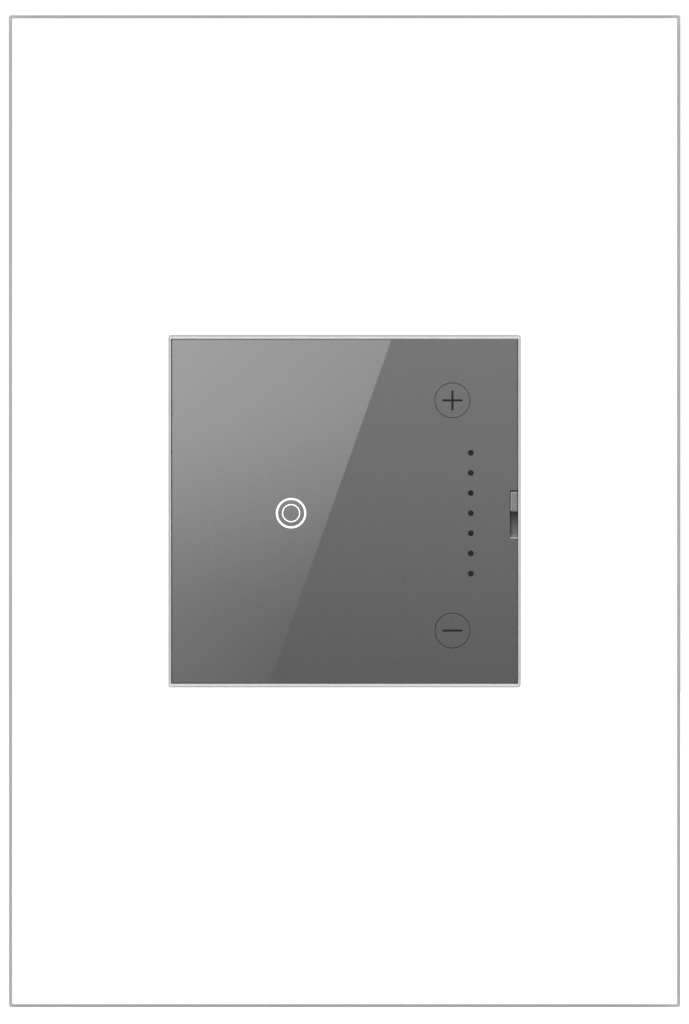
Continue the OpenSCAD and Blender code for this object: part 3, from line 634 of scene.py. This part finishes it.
def box_screws():
    """Two screws with domed cross-slotted heads and real threads, which are rolled down inside the frame."""
    low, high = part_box("box_screws")
    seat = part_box("mounting_frame")[0].y
    head_r, neck_r, thread_r = (high.x - low.x) / 2, 1.45 * MM, 1.75 * MM
    slot_span, slot_w, slot_floor = 3.8 * MM, 0.85 * MM, low.y + 1.1 * MM
    brim = seat - 0.7 * MM
    dome = []
    for degrees in range(72, -1, -9):
        a = math.radians(degrees)
        dome.append((head_r * math.cos(a), brim + (low.y - brim) * math.sin(a)))
    profile = [(0.2 * MM, low.y), *dome, (head_r, seat), (neck_r, seat)]
    profile += [(neck_r, -0.05 * MM), (neck_r - 0.15 * MM, 0.1 * MM)]
    heads, slots, threads = [], [], []
    for z in (head_r - high.z, high.z - head_r):
        heads.append(lathe(0, z, profile))
        slots.append(cross_bar(0, z, low.y - 1 * MM, slot_floor, slot_span, slot_w))
        threads.append(threaded_rod(0, z, 0.0, high.y, thread_r))
    slotted = carved(join(heads), join(slots))
    piece = new_piece("box_screw_set", *join([slotted] + threads), smooth_angle=30)
    paint(piece, "zinc_steel")
    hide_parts("box_screws")


def arc(centre_y, centre_z, radius, start, sweep, steps):
    """Points of an arc in the Y-Z plane, without its first; the angle is measured from +Z towards +Y."""
    angles = [math.radians(start + sweep * i / steps) for i in range(1, steps + 1)]
    return [(centre_y + radius * math.sin(a), centre_z + radius * math.cos(a)) for a in angles]


def straight(y0, z0, y1, z1, steps):
    """Points of a straight stretch in the Y-Z plane, without its first."""
    return [(y0 + (y1 - y0) * i / steps, z0 + (z1 - z0) * i / steps) for i in range(1, steps + 1)]


def lead_route(low, high, radius, exit_z, up_end):
    """Centre line of one folded lead, in Y and Z."""
    bend, hairpin = 6 * MM, 4.5 * MM
    far = high.y - radius
    near = far - 2 * hairpin
    bottom = low.z + radius + hairpin
    route = [(low.y, exit_z)]
    route += straight(low.y, exit_z, near - bend, exit_z, 10)
    route += arc(near - bend, exit_z - bend, bend, 0, 90, 10)
    route += straight(near, exit_z - bend, near, bottom, 16)
    route += arc(near + hairpin, bottom, hairpin, 270, -180, 16)
    route += straight(far, bottom, far, up_end, 20)
    return route


def sway(t, phase, reach):
    """Sideways drift at the share t of a lead's length, nothing where it leaves the housing."""
    eased_in, turns = 1.6, 5.1
    return reach * (1 - math.cos(math.pi * min(1, t * eased_in))) * math.sin(phase + turns * t)


def strands(start, length, wire=0.25 * MM, lay=9 * MM):
    """A bundle of one straight wire and six wound round it, which spread a little towards the tip."""
    steps, spread = 28, 0.12
    tuck = 0.5 * MM            # how far the wires begin inside the insulation
    x, y, z = start
    wires = []
    for k in range(7):
        line = []
        for step in range(steps + 1):
            t = length * step / steps
            a = 2 * math.pi * (t / lay + k / 6)
            ring = 0 if k == 0 else 2 * wire * (1 + spread * (step / steps) ** 3)
            rise = length if step == steps else t - tuck
            line.append((x + ring * math.cos(a), y + ring * math.sin(a), z + rise))
        wires.append(tube(line, wire, sides=10))
    return wires


def leads():
    """Four insulated leads, and in their stripped ends the strands."""
    ends_low, ends_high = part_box("lead_ends")
    grommets_low, grommets_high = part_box("lead_grommets")
    exit_z = (grommets_low.z + grommets_high.z) / 2
    bare, reach = 10 * MM, 0.45 * MM
    bundles = []
    for i, name in enumerate(("line_lead", "load_lead", "neutral_lead", "ground_lead")):
        low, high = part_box(name)
        radius = (high.x - low.x) / 2
        x = (high.x + low.x) / 2
        up_end = ends_low.z if i % 2 == 0 else ends_high.z - bare
        route = lead_route(low, high, radius, exit_z, up_end)
        phase = random.uniform(0, 6.28)
        last = len(route) - 1
        spine = [(x + sway(n / last, phase, reach), y, z) for n, (y, z) in enumerate(route)]
        piece = new_piece(name + "_insulation", *tube(spine, radius), smooth_angle=50)
        paint(piece, SLOT_OF[name])
        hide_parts(name)
        bundles += strands(spine[-1], bare)
    piece = new_piece("lead_strands", *join(bundles), smooth_angle=60)
    paint(piece, "copper")
    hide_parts("lead_ends")


# ---------- stage ----------

def card_value(tree, face_scale):
    """Brightness of the card in front of the face: a bright field with a slanted edge beside a dimmer one."""
    split = tree.nodes.new("ShaderNodeSeparateXYZ")
    tree.links.new(tree.nodes.new("ShaderNodeTexCoord").outputs["Object"], split.inputs[0])
    # millimetres on the face whose reflection this point of the card makes
    x = maths(tree, "MULTIPLY", split.outputs["X"], 1 / (face_scale * MM))
    z = maths(tree, "MULTIPLY", split.outputs["Z"], 1 / (face_scale * MM))
    # the bright field lies left of a slanted line and grows brighter upwards and to the left
    lean, line_x, sharpness = 0.3546, -1.75, 6.0
    line = maths(tree, "ADD", maths(tree, "MULTIPLY", z, lean), line_x)
    left_of = maths(tree, "SUBTRACT", line, x)
    inside = maths(tree, "MULTIPLY", left_of, sharpness, clamp=True)
    upwards = ramp(tree, z, -17.0, 16.0, 0.4, 2.75, smooth=True)
    bright = maths(tree, "ADD", upwards, maths(tree, "MULTIPLY", left_of, 0.055))
    # all of the card grows brighter upwards
    middle, per_mm, least = 1.75, 0.039, 0.5
    base = maths(tree, "MAXIMUM", maths(tree, "ADD", maths(tree, "MULTIPLY", z, per_mm), middle), least)
    return maths(tree, "ADD", base, maths(tree, "MULTIPLY", bright, inside))


def studio_card(camera_y, camera_at):
    """Stands in front of the face and shows only in reflections, as a softbox behind the camera would."""
    away = 0.4
    margin = 5 * MM
    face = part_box("touch_panel")[0].y
    shift = away / (face - camera_y)
    scale = 1 + shift
    half = (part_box("touch_panel")[1].x + margin) * scale
    corners = [(-half, 0, -half), (half, 0, -half), (half, 0, half), (-half, 0, half)]
    mesh = bpy.data.meshes.new("studio_card")
    mesh.from_pydata(corners, [], [(0, 1, 2, 3)])
    card = bpy.data.objects.new("studio_card", mesh)
    bpy.context.scene.collection.objects.link(card)
    card.location = (-camera_at[0] * shift, face - away, -camera_at[1] * shift)
    material = bpy.data.materials.new("studio_card")
    material.use_nodes = True
    tree = material.node_tree
    tree.nodes.clear()
    glow = tree.nodes.new("ShaderNodeEmission")
    tree.links.new(card_value(tree, scale), glow.inputs["Strength"])
    out = tree.nodes.new("ShaderNodeOutputMaterial")
    tree.links.new(glow.outputs[0], out.inputs["Surface"])
    mesh.materials.append(material)
    card.visible_camera = False
    card.visible_diffuse = False
    card.visible_transmission = False
    card.visible_shadow = False
    card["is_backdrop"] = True


def area_light(name, place, power, size=0.8):
    """A square lamp, hidden from the camera, that points at the device."""
    data = bpy.data.lights.new(name, "AREA")
    data.shape = "SQUARE"
    data.size = size
    data.energy = power
    light = bpy.data.objects.new(name, data)
    light.location = place
    light.visible_camera = False
    light.rotation_euler = (-Vector(place)).to_track_quat("-Z", "Y").to_euler()
    bpy.context.scene.collection.objects.link(light)


def backdrop():
    """A world that the camera sees white straight behind the plate and pale grey elsewhere."""
    world = bpy.data.worlds.new("studio")
    bpy.context.scene.world = world
    world.use_nodes = True
    tree = world.node_tree
    back = tree.nodes["Background"]
    back.inputs["Color"].default_value = (1, 1, 1, 1)
    split = tree.nodes.new("ShaderNodeSeparateXYZ")
    tree.links.new(tree.nodes.new("ShaderNodeTexCoord").outputs["Generated"], split.inputs[0])
    seen = ramp(tree, split.outputs["Y"], *SQUARE_ON, 0.76, 1.05)
    mix = tree.nodes.new("ShaderNodeMix")
    mix.inputs["A"].default_value = 0.5
    tree.links.new(seen, mix.inputs["B"])
    tree.links.new(tree.nodes.new("ShaderNodeLightPath").outputs["Is Camera Ray"], mix.inputs["Factor"])
    tree.links.new(mix.outputs["Result"], back.inputs["Strength"])


def floor():
    """A pale floor just under the device."""
    half = 4.0
    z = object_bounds()[0].z - 1 * MM
    corners = [(-half, -half, z), (half, -half, z), (half, half, z), (-half, half, z)]
    mesh = bpy.data.meshes.new("floor")
    mesh.from_pydata(corners, [], [(0, 1, 2, 3)])
    ground = bpy.data.objects.new("floor", mesh)
    bpy.context.scene.collection.objects.link(ground)
    pale = Finish("floor_pale", (0.80, 0.80, 0.80), 0.9, specular=0.0)
    pale.vary_colour(pale.noise(40 * MM, 2), 0.01)
    pale.set("Emission Color", (1, 1, 1, 1))
    ray = pale.add("ShaderNodeLightPath")
    # the floor in front grows brighter with distance, which shades reflections in the face
    mirrored = ramp(pale.tree, pale.along("Y"), -80 * MM, -450 * MM, 0.2, 2.6)
    bounce = pale.add("ShaderNodeMix")
    bounce.inputs["A"].default_value = 0.5
    pale.wire(mirrored, bounce.inputs["B"])
    pale.wire(ray.outputs["Is Glossy Ray"], bounce.inputs["Factor"])
    glow = pale.add("ShaderNodeMix")
    pale.wire(bounce.outputs["Result"], glow.inputs["A"])
    pale.wire(pale.seen_square_on(0.03, 0.85), glow.inputs["B"])
    pale.wire(ray.outputs["Is Camera Ray"], glow.inputs["Factor"])
    pale.wire(glow.outputs["Result"], pale.shader.inputs["Emission Strength"])
    mesh.materials.append(pale.material)
    ground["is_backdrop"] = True


def lights():
    """Soft studio light, mostly from the front and from behind."""
    area_light("front", (0, -2.6, 0.25), 14)
    area_light("key", (-0.7, -1.3, 1.5), 10, size=0.9)
    area_light("fill", (1.2, -1.2, 0.5), 3)
    area_light("back", (0.6, 1.4, 1.1), 15)


def camera():
    """A long lens square to the plate; the image's long side spans the plate and a little white."""
    data = bpy.data.cameras.new("camera")
    data.sensor_width = 36
    data.lens = 600
    low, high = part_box("mounting_frame")
    with_margin = 1.0323
    span = (high.z - low.z) * with_margin
    distance = span * data.lens / data.sensor_width
    # where on the plate the camera looks, in X and Z
    at = (-0.015 * MM, -0.1 * MM)
    cam = bpy.data.objects.new("camera", data)
    cam.location = (at[0], low.y - distance, at[1])
    cam.rotation_euler = (math.radians(90), 0, 0)
    bpy.context.scene.collection.objects.link(cam)
    bpy.context.scene.camera = cam
    studio_card(cam.location.y, at)


bpy.context.scene.view_settings.view_transform = "Standard"
paint_cad()
wall_plate()
snap_hooks()
box_screws()
leads()
backdrop()
floor()
lights()
camera()
